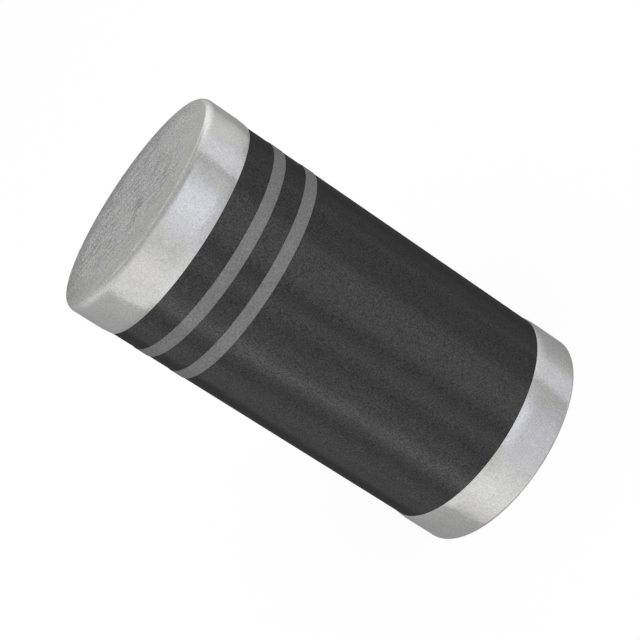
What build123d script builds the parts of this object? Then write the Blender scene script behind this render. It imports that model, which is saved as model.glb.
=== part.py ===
from build123d import *
import os

# A transient voltage suppressor diode in a leadless cylindrical case, about 5 mm long and 2.5 mm across.
# Frame: the diode stands on its anode end. +Z runs along its axis to the cathode end, the one with the
# two printed bands, and the origin is the centre of the anode end face. All sizes are in millimetres.

# Outside of the case
overall_length = 4.88
terminal_diameter = 2.56
body_step = 0.0165  # the moulding lies this far below the terminals' rims
anode_head_length = 0.535  # the part of each terminal that shows
cathode_head_length = 0.524
end_edge_radius = 0.065  # round the edge of each end face
crown_length = 0.16  # each rim curves in over this length, towards the moulding
crown_depth = 0.0105

# Printed bands, along the axis from the cathode terminal
first_band_offset = 0.31
band_width = 0.144
band_spacing = 0.286  # bare plastic between the two, on the axis
ink_thickness = 0.005
type_band_skew = (-1.5, -0.75)  # degrees about X and Y, because the second band is printed a little askew

# Silicon die, a square pellet whose four sides slope in towards its cathode face
die_side = 1.20
die_bevel = 0.075
die_thickness = 0.24

# Molybdenum discs and the braze foils on both faces of each
disc_diameter = 1.00
disc_thickness = 0.45
foil_thickness = 0.03

# Inner end of each terminal: a neck with a flat pad at its tip and a collar that keys it into the plastic
neck_diameter = 0.80
pad_overhang = 0.15
pad_thickness = 0.18
collar_overhang = 0.40
collar_thickness = 0.22
collar_offset = 0.26  # from the head's inner face
heading_chamfer = 0.04  # on the corners that the heading die leaves at the neck and the collar

# Glass bead, fused round the die, the discs and the pads
glass_over_die = 0.13  # over the die's corners
glass_over_pad = 0.12  # beside each pad
glass_behind_pad = 0.07
meniscus_rise = 0.08  # the glass climbs each neck by this much
meniscus_sag = 0.03

# Sizes that follow from those above
terminal_radius = terminal_diameter / 2
body_radius = terminal_radius - body_step
neck_radius = neck_diameter / 2
pad_radius = neck_radius + pad_overhang
collar_radius = neck_radius + collar_overhang
middle = overall_length / 2
stack_reach = die_thickness / 2 + foil_thickness + disc_thickness + foil_thickness
terminal_length = middle - stack_reach
bead_reach = stack_reach + pad_thickness + glass_behind_pad
body_top = overall_length - cathode_head_length


def headed_corners(edges):
    """The circles where the neck meets what stands out from it, and those round the collar."""
    circles = edges.filter_by(GeomType.CIRCLE)
    return [edge for edge in circles if min(abs(edge.radius - r) for r in (neck_radius, collar_radius)) < 1e-6]


def terminal(head_length):
    """Cold-headed stud, turned about Z, with its outer face at z = 0 and its pad at the top."""
    collar_start = head_length + collar_offset
    collar_end = collar_start + collar_thickness
    pad_start = terminal_length - pad_thickness
    with BuildPart() as stud:
        with BuildSketch(Plane.XZ):
            with BuildLine():
                face = Line((0, 0), (terminal_radius - end_edge_radius, 0))
                edge = TangentArc(face @ 1, (terminal_radius, end_edge_radius), tangent=(1, 0))
                rim = Line(edge @ 1, (terminal_radius, head_length - crown_length))
                crown = TangentArc(rim @ 1, (terminal_radius - crown_depth, head_length), tangent=(0, 1))
                Polyline(
                    crown @ 1,
                    (neck_radius, head_length),
                    (neck_radius, collar_start),
                    (collar_radius, collar_start),
                    (collar_radius, collar_end),
                    (neck_radius, collar_end),
                    (neck_radius, pad_start),
                    (pad_radius, pad_start),
                    (pad_radius, terminal_length),
                    (0, terminal_length),
                    face @ 0,
                )
            make_face()
        revolve(axis=Axis.Z)
        chamfer(headed_corners(stud.edges()), heading_chamfer)
    return stud.part


def axial_disc(diameter, thickness, bottom):
    """Flat round disc on the axis, from the given height up."""
    return Pos(0, 0, bottom) * Cylinder(
        diameter / 2, thickness, align=(Align.CENTER, Align.CENTER, Align.MIN)
    )


def silicon_die():
    """Square pellet with a bevelled edge, centred on the middle of the case."""
    narrow_side = die_side - 2 * die_bevel
    with BuildPart() as pellet:
        with BuildSketch(Plane.XY.offset(middle - die_thickness / 2)):
            Rectangle(die_side, die_side)
        with BuildSketch(Plane.XY.offset(middle + die_thickness / 2)):
            Rectangle(narrow_side, narrow_side)
        loft()
    return pellet.part


def bead_blank():
    """Outside of the glass bead, filled: a barrel that ends in a meniscus on each neck."""
    waist = (die_side / 2) * 2**0.5 + glass_over_die
    shoulder = pad_radius + glass_over_pad
    low, high = middle - bead_reach, middle + bead_reach
    with BuildPart() as bead:
        with BuildSketch(Plane.XZ):
            with BuildLine():
                barrel = ThreePointArc((shoulder, low), (waist, middle), (shoulder, high))
                upper = SagittaArc(barrel @ 1, (neck_radius, high + meniscus_rise), meniscus_sag)
                core = Polyline(
                    upper @ 1,
                    (0, high + meniscus_rise),
                    (0, low - meniscus_rise),
                    (neck_radius, low - meniscus_rise),
                )
                SagittaArc(core @ 1, barrel @ 0, meniscus_sag)
            make_face()
        revolve(axis=Axis.Z)
    return bead.part


def printed_band(top, skew=(0, 0)):
    """Ring of ink on the moulding, from the given height down, turned by skew about its own middle."""
    height = top - band_width / 2
    ink = axial_disc(2 * (body_radius + ink_thickness), 2 * band_width, height - band_width)
    ink -= axial_disc(2 * body_radius, 2 * band_width, height - band_width)
    slab = Box(overall_length, overall_length, band_width)
    return ink & Pos(0, 0, height) * Rot(*skew, 0) * slab


def stack():
    """The pieces brazed together between the two pads, from the anode side up."""
    names = (
        ("anode_terminal_braze", foil_thickness),
        ("anode_molybdenum_disc", disc_thickness),
        ("anode_die_braze", foil_thickness),
        ("silicon_die", die_thickness),
        ("cathode_die_braze", foil_thickness),
        ("cathode_molybdenum_disc", disc_thickness),
        ("cathode_terminal_braze", foil_thickness),
    )
    height = middle - stack_reach
    made = {}
    for name, thickness in names:
        if name == "silicon_die":
            made[name] = silicon_die()
        else:
            made[name] = axial_disc(disc_diameter, thickness, height)
        height += thickness
    return made


inner = stack()
anode_terminal = terminal(anode_head_length)
cathode_terminal = Pos(0, 0, overall_length) * Rot(180, 0, 0) * terminal(cathode_head_length)

bead_outside = bead_blank()
glass_bead = bead_outside - anode_terminal - cathode_terminal
for piece in inner.values():
    glass_bead -= piece

body_blank = axial_disc(2 * body_radius, body_top - anode_head_length, anode_head_length)
moulded_body = body_blank - bead_outside - anode_terminal - cathode_terminal

first_band_top = body_top - first_band_offset
second_band_top = first_band_top - band_width - band_spacing

pieces = {
    "anode_terminal": anode_terminal,
    "cathode_terminal": cathode_terminal,
    "moulded_body": moulded_body,
    "glass_bead": glass_bead,
    "cathode_band": printed_band(first_band_top),
    "type_band": printed_band(second_band_top, type_band_skew),
    **inner,
}

os.makedirs("parts", exist_ok=True)
for name, piece in pieces.items():
    export_step(piece, f"parts/{name}.step")
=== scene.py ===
import math

import bmesh
import bpy
from mathutils import Euler, Matrix, Vector


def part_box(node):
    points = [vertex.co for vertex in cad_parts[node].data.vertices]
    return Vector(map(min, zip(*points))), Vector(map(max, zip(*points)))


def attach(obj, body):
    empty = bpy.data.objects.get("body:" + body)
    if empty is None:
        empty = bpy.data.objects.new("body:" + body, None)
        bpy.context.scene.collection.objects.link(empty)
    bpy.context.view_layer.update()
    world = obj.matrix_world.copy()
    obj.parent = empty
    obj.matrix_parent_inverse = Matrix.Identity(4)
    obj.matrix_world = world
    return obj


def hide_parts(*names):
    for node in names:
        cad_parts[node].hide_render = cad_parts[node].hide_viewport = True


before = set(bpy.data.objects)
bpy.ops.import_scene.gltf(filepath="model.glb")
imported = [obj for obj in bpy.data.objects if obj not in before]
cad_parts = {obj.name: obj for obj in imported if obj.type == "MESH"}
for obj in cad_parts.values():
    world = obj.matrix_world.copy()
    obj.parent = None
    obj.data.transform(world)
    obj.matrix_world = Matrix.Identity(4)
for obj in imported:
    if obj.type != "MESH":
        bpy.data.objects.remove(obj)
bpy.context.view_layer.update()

MM = 0.001
ORIGIN = Vector((0, 0, 0))
UP = Vector((0, 0, 1))

# Outside sizes, read from the frame
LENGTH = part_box("cathode_terminal")[1].z
RIM_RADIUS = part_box("anode_terminal")[1].x
BODY_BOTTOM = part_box("moulded_body")[0].z
BODY_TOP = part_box("moulded_body")[1].z
BODY_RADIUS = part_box("moulded_body")[1].x
INK_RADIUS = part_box("cathode_band")[1].x
BAND_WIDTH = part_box("cathode_band")[1].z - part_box("cathode_band")[0].z
TERMINAL_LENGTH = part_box("anode_terminal")[1].z
MIDDLE = LENGTH / 2

# Sizes of the terminals that a box doesn't give
END_EDGE_RADIUS = 0.065 * MM
ANODE_EDGE_STRETCH = 0.8  # how much longer the end edge is along the rim than across the end face
CATHODE_EDGE_STRETCH = 1.3
CROWN_LENGTH = 0.16 * MM
CROWN_DEPTH = 0.0105 * MM
LIP_SHARE = 0.2  # of the crown's length, over which its inner edge turns in a little more
LIP_DEPTH = 0.0015 * MM
NECK_RADIUS = 0.40 * MM
PAD_RADIUS = 0.55 * MM
PAD_THICKNESS = 0.18 * MM
COLLAR_RADIUS = 0.80 * MM
COLLAR_THICKNESS = 0.22 * MM
COLLAR_OFFSET = 0.26 * MM
HEADING_CHAMFER = 0.04 * MM

# Space that the glass bead fills inside the moulding
BEAD_LOW = 1.56 * MM
BEAD_WAIST_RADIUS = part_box("glass_bead")[1].x
BEAD_SHOULDER_RADIUS = 0.67 * MM
MENISCUS_RISE = 0.08 * MM
MENISCUS_SAG = 0.03 * MM

TYPE_BAND_SKEW = Euler((math.radians(-1.5), math.radians(-0.75), 0))

TURN_STEPS = 256
SHARP_ANGLE = math.radians(30)
MERGE_DISTANCE = 0.00002 * MM
EDGE_SEGMENTS = 8
CROWN_SEGMENTS = 10
BARREL_SEGMENTS = 32
MENISCUS_SEGMENTS = 6


# Shapes

def draw_line(bm, points):
    """A chain of edges through points given as radius and height."""
    verts = [bm.verts.new((radius, 0, height)) for radius, height in points]
    for start, end in zip(verts, verts[1:]):
        bm.edges.new((start, end))
    return verts


def round_corners(bm, corners, size, segments):
    """Rounds corners of a flat line, or chamfers them with one segment."""
    bmesh.ops.bevel(
        bm, geom=corners, offset=size, affect="VERTICES", segments=segments, profile=0.5, material=-1
    )


def arc_between(start, end, sagitta, segments):
    """Points after start up to end, on an arc that bulges to the right of the way there by sagitta."""
    start, end = Vector(start), Vector(end)
    chord = end - start
    side = Vector((chord.y, -chord.x)).normalized()
    radius = (chord.length ** 2 / 4 + sagitta ** 2) / (2 * sagitta)
    half_angle = math.asin(chord.length / (2 * radius))
    if sagitta > chord.length / 2:
        half_angle = math.pi - half_angle
    centre = (start + end) / 2 + side * (sagitta - radius)
    points = []
    for step in range(1, segments + 1):
        angle = half_angle * (2 * step / segments - 1)
        along = chord.normalized() * radius * math.sin(angle)
        points.append(centre + side * radius * math.cos(angle) + along)
    return points


def shank_line(head_length):
    """Radius and height from the rim's inner edge to the pad, with the outer face at height 0."""
    collar_start = head_length + COLLAR_OFFSET
    collar_end = collar_start + COLLAR_THICKNESS
    pad_start = TERMINAL_LENGTH - PAD_THICKNESS
    return [
        (NECK_RADIUS, head_length),
        (NECK_RADIUS, collar_start),
        (COLLAR_RADIUS, collar_start),
        (COLLAR_RADIUS, collar_end),
        (NECK_RADIUS, collar_end),
        (NECK_RADIUS, pad_start),
        (PAD_RADIUS, pad_start),
    ]


def crown_line(head_length):
    """Radius and height down the crowned end of a rim, which meets the moulding."""
    line = []
    for step in range(1, CROWN_SEGMENTS + 1):
        share = step / CROWN_SEGMENTS
        lip = max(0, share - 1 + LIP_SHARE) / LIP_SHARE
        radius = RIM_RADIUS - CROWN_DEPTH * share ** 2 - LIP_DEPTH * lip ** 2
        line.append((radius, head_length - CROWN_LENGTH * (1 - share)))
    return line


def order_by_place(bm):
    """Numbers corners, edges and faces by where they are, because a merge leaves them in a chance order."""
    places = (
        (bm.verts, lambda vert: vert.co[:]),
        (bm.edges, lambda edge: (edge.verts[0].co + edge.verts[1].co)[:]),
        (bm.faces, lambda face: face.calc_center_median()[:]),
    )
    for elements, place in places:
        for index, element in enumerate(sorted(elements, key=place)):
            element.index = index
        elements.sort()


def turn(bm, name):
    """Turns the line in bm round the axis into a closed, smooth-shaded piece."""
    bmesh.ops.spin(
        bm,
        geom=bm.verts[:] + bm.edges[:],
        cent=ORIGIN,
        axis=UP,
        angle=math.tau,
        steps=TURN_STEPS,
        use_merge=True,
    )
    bmesh.ops.remove_doubles(bm, verts=bm.verts[:], dist=MERGE_DISTANCE)
    bmesh.ops.recalc_face_normals(bm, faces=bm.faces[:])
    order_by_place(bm)
    for face in bm.faces:
        face.smooth = True
    mesh = bpy.data.meshes.new(name)
    bm.to_mesh(mesh)
    bm.free()
    mesh.set_sharp_from_angle(angle=SHARP_ANGLE)
    piece = bpy.data.objects.new(name, mesh)
    bpy.context.scene.collection.objects.link(piece)
    return piece


def terminal(name, head_length, edge_stretch, upside_down):
    """One headed stud: end face, rim with a crowned edge, neck, collar and pad."""
    bm = bmesh.new()
    shank = shank_line(head_length)
    line = [(0, 0), (RIM_RADIUS, 0), (RIM_RADIUS, head_length - CROWN_LENGTH)]
    line += crown_line(head_length) + shank
    line += [(PAD_RADIUS, TERMINAL_LENGTH), (0, TERMINAL_LENGTH)]
    verts = draw_line(bm, line)
    first = 3 + CROWN_SEGMENTS
    headed = verts[first:first + len(shank) - 1]
    round_corners(bm, headed, HEADING_CHAMFER, 1)
    round_corners(bm, [verts[1]], END_EDGE_RADIUS, EDGE_SEGMENTS)
    below_rim = (END_EDGE_RADIUS + head_length - CROWN_LENGTH) / 2
    edge = [vert for vert in bm.verts if vert.co.z < below_rim]
    bmesh.ops.scale(bm, vec=(1, 1, edge_stretch), verts=edge)
    if upside_down:
        bmesh.ops.scale(bm, vec=(1, 1, -1), verts=bm.verts[:])
        bmesh.ops.translate(bm, vec=UP * LENGTH, verts=bm.verts[:])
    return turn(bm, name)


def moulding(name):
    """The plastic: a plain cylinder outside, and inside it the space round both shanks and the bead."""
    bm = bmesh.new()
    low = shank_line(BODY_BOTTOM)[:-2]
    high = [(radius, LENGTH - height) for radius, height in shank_line(LENGTH - BODY_TOP)[:-2]]
    foot = (NECK_RADIUS, BEAD_LOW - MENISCUS_RISE)
    shoulder = (BEAD_SHOULDER_RADIUS, BEAD_LOW)
    top_shoulder = (BEAD_SHOULDER_RADIUS, LENGTH - BEAD_LOW)
    top_foot = (NECK_RADIUS, LENGTH - BEAD_LOW + MENISCUS_RISE)
    line = [(BODY_RADIUS, BODY_BOTTOM)] + low + [foot]
    line += arc_between(foot, shoulder, -MENISCUS_SAG, MENISCUS_SEGMENTS)
    line += arc_between(shoulder, top_shoulder, BEAD_WAIST_RADIUS - BEAD_SHOULDER_RADIUS, BARREL_SEGMENTS)
    line += arc_between(top_shoulder, top_foot, -MENISCUS_SAG, MENISCUS_SEGMENTS)
    line += high[::-1] + [(BODY_RADIUS, BODY_TOP)]
    verts = draw_line(bm, line)
    bm.edges.new((verts[-1], verts[0]))
    corners = verts[1:1 + len(low)] + verts[-1 - len(high):-1]
    round_corners(bm, corners, HEADING_CHAMFER, 1)
    return turn(bm, name)


def printed_ring(name, skew=None):
    """A ring of ink where the CAD node of the same kind is, level or turned a little by skew."""
    low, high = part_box(name)
    height = (low.z + high.z) / 2
    bottom, top = height - BAND_WIDTH / 2, height + BAND_WIDTH / 2
    bm = bmesh.new()
    section = [(BODY_RADIUS, bottom), (INK_RADIUS, bottom), (INK_RADIUS, top), (BODY_RADIUS, top)]
    verts = draw_line(bm, section)
    bm.edges.new((verts[-1], verts[0]))
    ring = turn(bm, name + "_ink")
    if skew:
        normal = UP.copy()
        normal.rotate(skew)
        shear = Matrix.Identity(4)
        shear[2][0], shear[2][1] = -normal.x / normal.z, -normal.y / normal.z
        ring.data.transform(shear)
    return ring


def fit(piece, node, material):
    """Puts a finished piece in the place of its CAD node."""
    piece.data.materials.append(material)
    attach(piece, "root")
    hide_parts(node)


# Building blocks for materials

def feed(tree, socket, value):
    """Links a socket to another one, or gives it a value."""
    if isinstance(value, bpy.types.NodeSocket):
        tree.links.new(value, socket)
    else:
        socket.default_value = value


def add(tree, kind, inputs=None, **settings):
    """A new node with its settings made and its inputs fed."""
    node = tree.nodes.new("ShaderNode" + kind)
    for name, value in settings.items():
        setattr(node, name, value)
    for name, value in (inputs or {}).items():
        feed(tree, node.inputs[name], value)
    return node


def calculate(tree, operation, first, second=0.0):
    """The result of one Math node."""
    return add(tree, "Math", {0: first, 1: second}, operation=operation).outputs[0]


def times(tree, first, second):
    """The product of two values."""
    return calculate(tree, "MULTIPLY", first, second)


def total(tree, *values):
    """The sum of several values."""
    result = values[0]
    for value in values[1:]:
        result = calculate(tree, "ADD", result, value)
    return result


def ease(tree, value, low, high, bottom=0.0, top=1.0):
    """Maps a value smoothly from low..high to bottom..top."""
    inputs = {"Value": value, "From Min": low, "From Max": high, "To Min": bottom, "To Max": top}
    return add(tree, "MapRange", inputs, interpolation_type="SMOOTHSTEP").outputs["Result"]


def ramp(tree, value, stops, interpolation="EASE"):
    """Colours at stated places along a value from 0 to 1."""
    node = add(tree, "ValToRGB", {"Fac": value})
    line = node.color_ramp
    line.interpolation = interpolation
    while len(line.elements) < len(stops):
        line.elements.new(1)
    for element, (place, colour) in zip(line.elements, stops):
        element.position = place
        element.color = (*colour, 1)
    return node.outputs["Color"]


def round_the_axis(stops):
    """Ramp places for stops that are given as degrees from the front and a grey tone or a colour."""
    return [((angle + 180) / 360, tone if isinstance(tone, tuple) else (tone,) * 3) for angle, tone in stops]


def new_group(name, inputs, outputs):
    """An empty node group with named sockets, and the sockets to build between."""
    tree = bpy.data.node_groups.new(name, "ShaderNodeTree")
    for in_out, sockets in (("INPUT", inputs), ("OUTPUT", outputs)):
        for label, kind in sockets:
            tree.interface.new_socket(label, in_out=in_out, socket_type="NodeSocket" + kind)
    return tree, tree.nodes.new("NodeGroupInput").outputs, tree.nodes.new("NodeGroupOutput").inputs


def use(tree, group, inputs):
    """Places a group in a material with its own values, and gives its outputs."""
    node = tree.nodes.new("ShaderNodeGroup")
    node.node_tree = group
    for name, value in inputs.items():
        feed(tree, node.inputs[name], value)
    return node.outputs


def clouds_group():
    """Soft mottling of a stated size, about 0 on average and 1 at most."""
    inputs = (("Vector", "Vector"), ("Size in mm", "Float"), ("Detail", "Float"), ("Contrast", "Float"))
    tree, given, made = new_group("clouds", inputs, (("Value", "Float"),))
    scale = calculate(tree, "DIVIDE", 1.0, given["Size in mm"])
    noise = add(tree, "TexNoise", {"Vector": given["Vector"], "Scale": scale, "Detail": given["Detail"]})
    centred = calculate(tree, "SUBTRACT", noise.outputs["Fac"], 0.5)
    feed(tree, made["Value"], times(tree, centred, given["Contrast"]))
    return tree


def marks_group():
    """Separate marks of a stated size: 1 inside each mark and 0 outside."""
    inputs = (("Vector", "Vector"), ("Size in mm", "Float"), ("Threshold", "Float"), ("Softness", "Float"))
    tree, given, made = new_group("marks", inputs, (("Mask", "Float"),))
    scale = calculate(tree, "DIVIDE", 1.0, given["Size in mm"])
    noise = add(tree, "TexNoise", {"Vector": given["Vector"], "Scale": scale, "Detail": 3.0})
    limit = calculate(tree, "ADD", given["Threshold"], given["Softness"])
    feed(tree, made["Mask"], ease(tree, noise.outputs["Fac"], given["Threshold"], limit))
    return tree


def tone_group():
    """A colour made lighter or darker by a share of itself."""
    inputs = (("Colour", "Color"), ("Change", "Float"))
    tree, given, made = new_group("tone", inputs, (("Colour", "Color"),))
    factor = calculate(tree, "ADD", given["Change"], 1.0)
    scaled = add(tree, "VectorMath", {0: given["Colour"], "Scale": factor}, operation="SCALE")
    feed(tree, made["Colour"], scaled.outputs["Vector"])
    return tree


def angle_group():
    """Degrees round the diode's axis, 0 at the front and 90 at +X."""
    tree, given, made = new_group("angle", (("Vector", "Vector"),), (("Degrees", "Float"),))
    parts = add(tree, "SeparateXYZ", {"Vector": given["Vector"]}).outputs
    front = times(tree, parts["Y"], -1.0)
    turned = calculate(tree, "ARCTAN2", parts["X"], front)
    feed(tree, made["Degrees"], calculate(tree, "DEGREES", turned))
    return tree


CLOUDS = clouds_group()
MARKS = marks_group()
TONE = tone_group()
ANGLE = angle_group()


def clouds(tree, place, size, contrast=1.0, detail=2.0):
    inputs = {"Vector": place, "Size in mm": size, "Detail": detail, "Contrast": contrast}
    return use(tree, CLOUDS, inputs)["Value"]


def marks(tree, place, size, threshold, softness):
    inputs = {"Vector": place, "Size in mm": size, "Threshold": threshold, "Softness": softness}
    return use(tree, MARKS, inputs)["Mask"]


# Painted sheen and shade: light streaks along the case that stand in for reflections, and painted shade
# darker towards its sides, by degrees round it, and how far the streaks lie askew
PAINTED_SHEEN_LEVEL = 0.43
PAINTED_SHEEN_AND_SHADE = (
    (-180, 0.42), (-140, 0.50), (-110, 0.41), (-80, 0.27), (-70, 0.28), (-60, 0.61), (-56, 0.60),
    (-53, 0.66), (-46, 0.59), (-40, 0.475), (-37, 0.50), (-28.5, 0.84), (-20, 0.56), (-11, 0.445),
    (-3, 0.55), (4, 0.43), (13, 0.61), (20, 0.625), (26, 0.60), (34, 0.42), (46, 0.40), (50, 0.456),
    (55, 0.38), (60, 0.36), (68, 0.25), (80, 0.25), (110, 0.43), (130, 0.52), (155, 0.41), (180, 0.42),
)
DRIFT_HEIGHTS = (1.6, 4.2)  # millimetres
DRIFTS = (-0.7, 3.2)  # degrees at those heights
DRIFT_FADES = ((-15, 40, 1.0, -0.1), (-66, -44, -0.3, 1.0))  # two angles, and the drift's share at each


def painted_sheen_group():
    """Painted sheen and shade as a change of tone: faint light streaks along the case that stand in for
    reflections, some of them a little askew, and darker tone towards the sides.
    """
    inputs = (("Vector", "Vector"), ("Strength", "Float"))
    tree, given, made = new_group("painted_sheen", inputs, (("Change", "Float"),))
    angle = use(tree, ANGLE, {"Vector": given["Vector"]})["Degrees"]
    wander = clouds(tree, given["Vector"], size=0.2, contrast=4.0)
    height = add(tree, "SeparateXYZ", {"Vector": given["Vector"]}).outputs["Z"]
    drift = ease(tree, height, *DRIFT_HEIGHTS, *DRIFTS)
    for fade in DRIFT_FADES:
        drift = times(tree, drift, ease(tree, angle, *fade))
    turned = calculate(tree, "DIVIDE", total(tree, angle, wander, drift, 180.0), 360.0)
    tone = calculate(tree, "SUBTRACT", ramp(tree, turned, round_the_axis(PAINTED_SHEEN_AND_SHADE)), PAINTED_SHEEN_LEVEL)
    feed(tree, made["Change"], times(tree, tone, given["Strength"]))
    return tree


PAINTED_SHEEN = painted_sheen_group()


def new_material(name, metallic, specular=0.5):
    """A material, its shader, and a vector in millimetres on the diode."""
    material = bpy.data.materials.new(name)
    material.use_nodes = True
    tree = material.node_tree
    shader = tree.nodes["Principled BSDF"]
    shader.inputs["Metallic"].default_value = metallic
    shader.inputs["Specular IOR Level"].default_value = specular
    place = add(tree, "TexCoord").outputs["Object"]
    place = add(tree, "Mapping", {"Vector": place, "Scale": (1 / MM,) * 3}).outputs["Vector"]
    return material, tree, shader, place


def toned(tree, colour, change):
    return use(tree, TONE, {"Colour": colour, "Change": change})["Colour"]


def dent(tree, shader, height, depth):
    """Feeds the shader's normal from a height, where 1 stands for the stated depth in metres."""
    bump = add(tree, "Bump", {"Height": height, "Strength": 1.0, "Distance": depth})
    feed(tree, shader.inputs["Normal"], bump.outputs["Normal"])


def stretch(tree, place, degrees, lengths):
    """Draws a pattern out along X, Y and Z, after its X has been turned by an angle about Z."""
    inputs = {"Vector": place, "Rotation": (0, 0, math.radians(degrees)), "Scale": lengths}
    return add(tree, "Mapping", inputs, vector_type="TEXTURE").outputs["Vector"]


# Materials. Patterns have their sizes in millimetres. A factor on a pattern is the share by which it changes
# a tone, or what it adds to a roughness.

TIN = (0.58, 0.58, 0.575)
WARM_TIN = (0.585, 0.58, 0.55)
DARKEST_CHANGE = -0.5  # no mark on the plating is darker than this
PLATING_RELIEF = 0.003 * MM
EPOXY = (0.043, 0.043, 0.043, 1)
INK = (0.194, 0.194, 0.195, 1)
INK_PAINTED_SHEEN = 0.3  # how much of the moulding's painted sheen and painted side shade the ink takes on
MATT_RELIEF = 0.0012 * MM
GLASS = (0.72, 0.78, 0.76, 1)
GLASS_TRANSMISSION = 0.35
GLASS_INDEX = 1.55
BUBBLE_RELIEF = 0.004 * MM
SILICON = (0.17, 0.18, 0.20, 1)
MOLYBDENUM = (0.36, 0.36, 0.37, 1)
BRAZE = (0.72, 0.66, 0.55, 1)
FINE_RELIEF = 0.002 * MM
POOL_RELIEF = 0.003 * MM

# End faces: where they are smooth and where their border carries painted shade, in millimetres, and which
# way their short scores lie
SMOOTH_CENTRE = (0.1, 0.45, 0)
SMOOTH_BEYOND = (1.0, 1.45)  # distances from that centre
SHADE_BORDER_BEYOND = (0.88, 1.16)  # radii
SHADE_BORDER_LEAN = 0.3  # how far the border of the painted shade leans from X towards Y
SHADE_BORDER_SIDE = (-0.4, 0.8)
SCORE_DIRECTION = -25  # degrees from X


def tin_plate():
    """Satin tin plating: fine grain and a few pits, and a rougher, marked surface on the end faces, over
    which a painted reflection gradient and a painted shade border lie.
    """
    material, tree, shader, place = new_material("tin_plate", metallic=1)
    parts = add(tree, "SeparateXYZ", {"Vector": place}).outputs
    half = MIDDLE / MM
    from_middle = calculate(tree, "ABSOLUTE", calculate(tree, "SUBTRACT", parts["Z"], half))
    face = ease(tree, from_middle, half - 0.02, half - 0.004)
    smooth, painted_shade_border = face_zones(tree, place, parts)
    grain = clouds(tree, place, size=0.018)
    mottle = clouds(tree, place, size=0.25, detail=4.0)
    waves = clouds(tree, place, size=0.10, detail=3.0)
    pits = marks(tree, place, size=0.05, threshold=0.70, softness=0.05)
    change = total(
        tree,
        times(tree, grain, 0.7),
        times(tree, mottle, 0.2),
        times(tree, pits, -0.2),
        times(tree, face_wear_and_painted_shade(tree, place, parts, smooth, painted_shade_border), face),
    )
    change = calculate(tree, "MAXIMUM", change, DARKEST_CHANGE)
    colour = ramp(tree, times(tree, smooth, face), ((0, TIN), (1, WARM_TIN)), "LINEAR")
    feed(tree, shader.inputs["Base Color"], toned(tree, colour, change))
    roughness = total(tree, times(tree, mottle, 0.08), times(tree, face, 0.15), 0.09)
    feed(tree, shader.inputs["Roughness"], roughness)
    dent(tree, shader, total(tree, times(tree, grain, 0.3), waves), PLATING_RELIEF)
    return material


def distance_across(tree, vector):
    """How far a vector reaches across the axis."""
    flat = add(tree, "VectorMath", {0: vector, 1: (1, 1, 0)}, operation="MULTIPLY").outputs["Vector"]
    return add(tree, "VectorMath", {0: flat}, operation="LENGTH").outputs["Value"]


def face_zones(tree, place, parts):
    """Where an end face is smooth, at its front, and where its border carries painted shade, from the left
    to the back.
    """
    apart = add(tree, "VectorMath", {0: place, 1: SMOOTH_CENTRE}, operation="SUBTRACT").outputs["Vector"]
    smooth = ease(tree, distance_across(tree, apart), *SMOOTH_BEYOND)
    leaning = calculate(tree, "SUBTRACT", parts["Y"], times(tree, parts["X"], SHADE_BORDER_LEAN))
    border = ease(tree, distance_across(tree, place), *SHADE_BORDER_BEYOND)
    return smooth, times(tree, border, ease(tree, leaning, *SHADE_BORDER_SIDE))


def score_marks(tree, place, parts, smooth):
    """Short dark scores in clusters, fewer on the right of an end face and none where it is smooth."""
    crowded = ease(tree, clouds(tree, place, size=0.4), -0.05, 0.08)
    crowded = times(tree, crowded, ease(tree, parts["X"], 0.35, 0.75, 1.0, 0.2))
    crowded = times(tree, crowded, calculate(tree, "SUBTRACT", 1.0, smooth))
    drawn_out = stretch(tree, place, SCORE_DIRECTION, (5.5, 1, 1))
    return times(tree, marks(tree, drawn_out, size=0.04, threshold=0.54, softness=0.09), crowded)


def face_wear_and_painted_shade(tree, place, parts, smooth, painted_shade_border):
    """Change of tone over an end face: rough grain, short dark scores and faint smudges, with a painted
    reflection tone lighter to the right and darker to the back, and a painted shade border.
    """
    grain = clouds(tree, stretch(tree, place, 90, (3, 1, 1)), size=0.02)
    rubbed = clouds(tree, stretch(tree, place, SCORE_DIRECTION, (3, 1, 1)), size=0.05, detail=3.0)
    wide = stretch(tree, place, SCORE_DIRECTION, (1.5, 1, 1))
    smudges = marks(tree, wide, size=0.25, threshold=0.52, softness=0.15)
    roughness = total(
        tree,
        times(tree, smooth, -0.5),
        ease(tree, parts["Y"], 0.1, 0.6, 0.0, 0.3),
        ease(tree, parts["X"], 0.4, 0.8, 0.0, -0.25),
        1.0,
    )
    rough = total(
        tree,
        times(tree, grain, 2.4),
        times(tree, rubbed, 1.1),
        times(tree, score_marks(tree, place, parts, smooth), -1.5),
    )
    # painted reflection: lighter towards +X and darker towards +Y; painted shade darkens the border from the
    # left to the back
    return total(
        tree,
        ease(tree, parts["X"], 0.1, 1.0, 0.0, 0.09),
        times(tree, parts["Y"], -0.06),
        times(tree, rough, roughness),
        times(tree, smudges, -0.06),
        times(tree, painted_shade_border, -0.44),
        0.16,
    )


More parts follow.
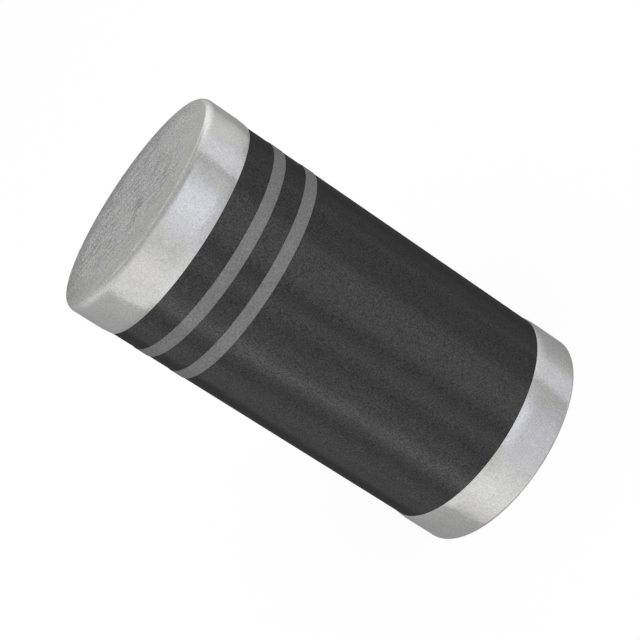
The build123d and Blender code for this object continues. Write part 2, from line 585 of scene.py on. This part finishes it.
def moulding_compound():
    """Near-black epoxy with a fine matt grain, with painted sheen streaks along the case and painted shade
    towards its sides.
    """
    material, tree, shader, place = new_material("moulding_compound", metallic=0, specular=0.04)
    grain = clouds(tree, place, size=0.016)
    mottle = clouds(tree, place, size=0.3, detail=4.0)
    # painted sheen: light streaks standing in for reflections, and painted shade towards the sides of the
    # case
    painted_sheen = use(tree, PAINTED_SHEEN, {"Vector": place, "Strength": 1 / PAINTED_SHEEN_LEVEL})["Change"]
    change = total(tree, times(tree, grain, 2.3), times(tree, mottle, 0.15))
    feed(tree, shader.inputs["Base Color"], toned(tree, toned(tree, EPOXY, painted_sheen), change))
    feed(tree, shader.inputs["Roughness"], total(tree, times(tree, grain, 0.3), 0.65))
    dent(tree, shader, grain, MATT_RELIEF)
    return material


def marking_ink():
    """Matt grey ink, laid a little unevenly on the moulding, with a share of the moulding's painted sheen
    and painted side shade.
    """
    material, tree, shader, place = new_material("marking_ink", metallic=0, specular=0.05)
    grain = clouds(tree, place, size=0.018)
    mottle = clouds(tree, place, size=0.2, detail=4.0)
    # a share of the painted sheen streaks and painted shade towards the sides
    painted_sheen = use(tree, PAINTED_SHEEN, {"Vector": place, "Strength": INK_PAINTED_SHEEN})["Change"]
    change = total(tree, times(tree, grain, 1.15), times(tree, mottle, 0.07))
    feed(tree, shader.inputs["Base Color"], toned(tree, toned(tree, INK, painted_sheen), change))
    feed(tree, shader.inputs["Roughness"], total(tree, times(tree, mottle, 0.3), 0.7))
    dent(tree, shader, grain, MATT_RELIEF)
    return material


def bead_glass():
    """Milky sealing glass with small bubbles."""
    material, tree, shader, place = new_material("sealing_glass", metallic=0)
    shader.inputs["Transmission Weight"].default_value = GLASS_TRANSMISSION
    shader.inputs["IOR"].default_value = GLASS_INDEX
    milk = clouds(tree, place, size=0.15, detail=3.0)
    bubbles = marks(tree, place, size=0.06, threshold=0.66, softness=0.04)
    change = total(tree, times(tree, milk, 0.3), times(tree, bubbles, 0.15))
    feed(tree, shader.inputs["Base Color"], toned(tree, GLASS, change))
    feed(tree, shader.inputs["Roughness"], total(tree, times(tree, milk, 0.15), 0.12))
    dent(tree, shader, bubbles, BUBBLE_RELIEF)
    return material


def die_silicon():
    """Sawn and etched silicon: dark grey with a fine etched grain."""
    material, tree, shader, place = new_material("etched_silicon", metallic=1)
    grain = clouds(tree, place, size=0.02, detail=3.0)
    stains = marks(tree, place, size=0.25, threshold=0.52, softness=0.2)
    change = total(tree, times(tree, grain, 0.5), times(tree, stains, -0.1))
    feed(tree, shader.inputs["Base Color"], toned(tree, SILICON, change))
    feed(tree, shader.inputs["Roughness"], total(tree, times(tree, grain, 0.4), 0.35))
    dent(tree, shader, grain, FINE_RELIEF)
    return material


def disc_molybdenum():
    """Lapped molybdenum with the lapping marks crossing its faces."""
    material, tree, shader, place = new_material("lapped_molybdenum", metallic=1)
    grain = clouds(tree, place, size=0.025)
    lapping = clouds(tree, stretch(tree, place, 30, (8, 1, 1)), size=0.03, detail=3.0)
    change = total(tree, times(tree, grain, 0.3), times(tree, lapping, 0.5))
    feed(tree, shader.inputs["Base Color"], toned(tree, MOLYBDENUM, change))
    feed(tree, shader.inputs["Roughness"], total(tree, times(tree, lapping, 0.3), 0.38))
    dent(tree, shader, lapping, FINE_RELIEF)
    return material


def braze_foil():
    """Silver-copper braze, run out in soft pools."""
    material, tree, shader, place = new_material("braze_foil", metallic=1)
    pools = clouds(tree, place, size=0.12, detail=3.0)
    grain = clouds(tree, place, size=0.02)
    change = total(tree, times(tree, pools, 0.3), times(tree, grain, 0.3))
    feed(tree, shader.inputs["Base Color"], toned(tree, BRAZE, change))
    feed(tree, shader.inputs["Roughness"], total(tree, times(tree, pools, 0.3), 0.3))
    dent(tree, shader, pools, POOL_RELIEF)
    return material


def paint(material, *nodes):
    """Gives carried-over CAD nodes their material."""
    for node in nodes:
        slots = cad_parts[node].material_slots
        for slot in slots:
            slot.material = material


# Pieces in place of CAD nodes

tin = tin_plate()
moulded = moulding_compound()
ink = marking_ink()
anode = terminal("anode_terminal_plated", BODY_BOTTOM, ANODE_EDGE_STRETCH, False)
cathode = terminal("cathode_terminal_plated", LENGTH - BODY_TOP, CATHODE_EDGE_STRETCH, True)
fit(anode, "anode_terminal", tin)
fit(cathode, "cathode_terminal", tin)
fit(moulding("moulded_body_fine"), "moulded_body", moulded)
fit(printed_ring("cathode_band"), "cathode_band", ink)
fit(printed_ring("type_band", TYPE_BAND_SKEW), "type_band", ink)

# CAD nodes inside the moulding, whose shapes are right as they are

paint(bead_glass(), "glass_bead")
paint(die_silicon(), "silicon_die")
paint(disc_molybdenum(), "anode_molybdenum_disc", "cathode_molybdenum_disc")
paint(
    braze_foil(),
    "anode_terminal_braze",
    "anode_die_braze",
    "cathode_die_braze",
    "cathode_terminal_braze",
)

# Camera, fitted to the outline and the bands in the photograph

FOCAL_PIXELS = 1789.21
IMAGE_PIXELS = 640
SENSOR_WIDTH = 36
CLIP_START = 1 * MM
CLIP_END = 10
CAMERA_PLACE = Vector((0, -17.9956, 8.6949)) * MM
CAMERA_RIGHT = Vector((0.548155, -0.272905, -0.790601))
CAMERA_VIEW = Vector((0.001165, 0.945516, -0.325573))


def add_camera():
    view = CAMERA_VIEW.normalized()
    up = CAMERA_RIGHT.cross(view).normalized()
    right = view.cross(up)
    data = bpy.data.cameras.new("camera")
    data.sensor_width = SENSOR_WIDTH
    data.lens = SENSOR_WIDTH * FOCAL_PIXELS / IMAGE_PIXELS
    data.clip_start = CLIP_START
    data.clip_end = CLIP_END
    camera = bpy.data.objects.new("camera", data)
    turned = Matrix((right, up, -view)).transposed().to_4x4()
    camera.matrix_world = Matrix.Translation(CAMERA_PLACE) @ turned
    bpy.context.scene.collection.objects.link(camera)
    bpy.context.scene.camera = camera


add_camera()

# Floor, world and lamps

FLOOR_RADIUS = 0.5
FLOOR_SIDES = 64
FLOOR_ALBEDO = 0.9
FLOOR_LIGHT = 0.7  # what the floor's own shading comes to away from the diode
FLOOR_SHADOW_SHARE = 0.15  # how much of that shading the camera sees
SKY_STRENGTH = 0.54

# What the plating mirrors, by degrees round the studio from the photographer's side: grey walls and white
# panels at eye level, the same from lower down, and what is above them
EYE_LEVEL = (
    (-180, 0.42), (-160, 0.38), (-135, 0.50), (-123, 0.54), (-105, 0.59), (-88, 0.67),
    (-85, (1.0, 1.0, 0.99)), (-74, (1.03, 1.03, 1.01)), (-60, (1.05, 1.04, 1.02)),
    (-50, (1.09, 1.08, 1.04)), (-40, (1.05, 1.04, 1.01)), (-31, 0.95), (-20, (0.84, 0.835, 0.81)),
    (-9, (0.89, 0.885, 0.885)), (3, (1.0, 1.0, 1.05)), (15, (1.07, 1.08, 1.15)),
    (26, (1.11, 1.12, 1.20)), (35, (1.06, 1.07, 1.14)), (43, (0.97, 0.98, 1.04)),
    (50, (0.84, 0.83, 0.87)), (58, 0.77), (71, 0.63), (74.5, (0.94, 0.94, 0.97)),
    (81, (0.98, 0.98, 1.01)), (93, (0.96, 0.96, 1.0)), (100, (0.86, 0.86, 0.88)), (112, 0.815),
    (126, (0.74, 0.74, 0.73)), (136, (0.61, 0.61, 0.59)), (142, 0.41), (160, 0.37), (180, 0.42),
)
LOW_DOWN = (
    (-180, 0.43), (-160, 0.35), (-145, 0.42), (-125, 0.48), (-105, 0.54), (-87.5, 0.585),
    (-83, (0.87, 0.86, 0.84)), (-70, (1.03, 1.02, 1.01)), (-60, (1.09, 1.09, 1.09)),
    (-48, (1.12, 1.12, 1.12)), (-38, 1.08), (-27, 1.0), (-17, 0.93), (-6, (0.905, 0.90, 0.93)),
    (6, (0.86, 0.86, 0.89)), (28, (0.84, 0.84, 0.89)), (36, (0.80, 0.80, 0.86)),
    (46, (0.73, 0.73, 0.78)), (56, 0.67), (72, 0.60), (76, (0.86, 0.86, 0.89)), (82, (0.89, 0.89, 0.92)),
    (98, (0.88, 0.88, 0.92)), (103, 0.74), (112, 0.61), (125, 0.50), (140, 0.43), (158, 0.35),
    (168, 0.40), (180, 0.43),
)
OVERHEAD = (
    (-180, 0.48), (-168, 0.49), (-145, 0.65), (-124, 0.85), (-105, 0.95), (-89, 0.95), (-72, 0.84),
    (-54, 0.83), (-29, 0.80), (-4, 0.78), (14, 0.70), (33, 0.58), (49, 0.56), (62, 0.61), (76, 0.76),
    (89, 1.1), (103, 1.3), (115, 1.4), (138, 1.35), (150, 1.12), (160, 0.74), (170, 0.5), (180, 0.48),
)
CEILING = (0.63, 0.63, 0.63, 1)

# Rises, as the sine of an elevation, between which one row of panels gives way to the next
LOW_DOWN_RISES = (-0.26, -0.42)
OVERHEAD_RISES = (-0.2, 0.62)
CEILING_RISES = (0.42, 0.80)
SIDE_ANGLES = (60, 110)  # beyond these, to the sides and the back, the overhead panels hang lower
SIDE_LOWERING = 0.15


def add_floor():
    bm = bmesh.new()
    bmesh.ops.create_circle(bm, cap_ends=True, segments=FLOOR_SIDES, radius=FLOOR_RADIUS)
    mesh = bpy.data.meshes.new("floor")
    bm.to_mesh(mesh)
    bm.free()
    floor = bpy.data.objects.new("floor", mesh)
    bpy.context.scene.collection.objects.link(floor)
    mesh.materials.append(floor_paper())


def floor_paper():
    """White paper. The camera sees most of it at an even white, and mirrored rays look past it."""
    material, tree, shader, place = new_material("floor_paper", metallic=0)
    shader.inputs["Base Color"].default_value = (FLOOR_ALBEDO,) * 3 + (1,)
    shader.inputs["Roughness"].default_value = 1
    rays = add(tree, "LightPath").outputs
    even_share = 1 - FLOOR_SHADOW_SHARE
    strength = (1 - FLOOR_SHADOW_SHARE * FLOOR_LIGHT) / even_share
    white = add(tree, "Emission", {"Strength": strength}).outputs[0]
    even = times(tree, rays["Is Camera Ray"], even_share)
    seen = add(tree, "MixShader", {0: even, 1: shader.outputs[0], 2: white}).outputs[0]
    clear = add(tree, "BsdfTransparent").outputs[0]
    mirrored = calculate(tree, "MAXIMUM", rays["Is Glossy Ray"], rays["Is Transmission Ray"])
    seen = add(tree, "MixShader", {0: mirrored, 1: seen, 2: clear}).outputs[0]
    feed(tree, tree.nodes["Material Output"].inputs["Surface"], seen)
    return material


def mix(tree, share, first, second):
    """A blend of two colours."""
    node = add(tree, "Mix", data_type="RGBA")
    for socket, value in ((0, share), (6, first), (7, second)):
        feed(tree, node.inputs[socket], value)
    return node.outputs[2]


def add_world():
    """Even light on every surface, white behind the object, and panels that only shiny surfaces see."""
    world = bpy.data.worlds.new("studio")
    bpy.context.scene.world = world
    world.use_nodes = True
    tree = world.node_tree
    direction = add(tree, "TexCoord").outputs["Generated"]
    angle = use(tree, ANGLE, {"Vector": direction})["Degrees"]
    turned = calculate(tree, "DIVIDE", calculate(tree, "ADD", angle, 180.0), 360.0)
    rise = add(tree, "SeparateXYZ", {"Vector": direction}).outputs["Z"]
    eye_level, low_down, overhead = (
        ramp(tree, turned, round_the_axis(stops)) for stops in (EYE_LEVEL, LOW_DOWN, OVERHEAD)
    )
    lowered = ease(tree, calculate(tree, "ABSOLUTE", angle), *SIDE_ANGLES, 0.0, SIDE_LOWERING)
    panels = mix(tree, ease(tree, rise, *LOW_DOWN_RISES), eye_level, low_down)
    panels = mix(tree, ease(tree, total(tree, rise, lowered), *OVERHEAD_RISES), panels, overhead)
    panels = mix(tree, ease(tree, rise, *CEILING_RISES), panels, CEILING)
    rays = add(tree, "LightPath").outputs
    seen = mix(tree, rays["Is Glossy Ray"], (SKY_STRENGTH,) * 3 + (1,), panels)
    straight = calculate(tree, "MAXIMUM", rays["Is Camera Ray"], rays["Is Transmission Ray"])
    seen = mix(tree, straight, seen, (1, 1, 1, 1))
    feed(tree, tree.nodes["Background"].inputs["Color"], seen)


def add_lamp(name, azimuth, elevation, distance, width, light):
    """A square soft lamp that faces the diode and adds the given light to a white surface that faces it."""
    data = bpy.data.lights.new(name, "AREA")
    data.shape = "SQUARE"
    data.size = width
    data.energy = light * math.pi ** 2 * distance ** 2
    turn_round, lift = math.radians(azimuth), math.radians(elevation)
    across = math.cos(lift)
    away = Vector((math.sin(turn_round) * across, -math.cos(turn_round) * across, math.sin(lift)))
    lamp = bpy.data.objects.new(name, data)
    lamp.location = UP * MIDDLE + away * distance
    lamp.rotation_euler = away.to_track_quat("Z", "Y").to_euler()
    lamp.visible_camera = False
    lamp.visible_glossy = False
    bpy.context.scene.collection.objects.link(lamp)


add_floor()
add_world()
add_lamp("key", azimuth=2, elevation=40, distance=0.30, width=0.33, light=0.56)

bpy.context.scene.view_settings.view_transform = "Standard"
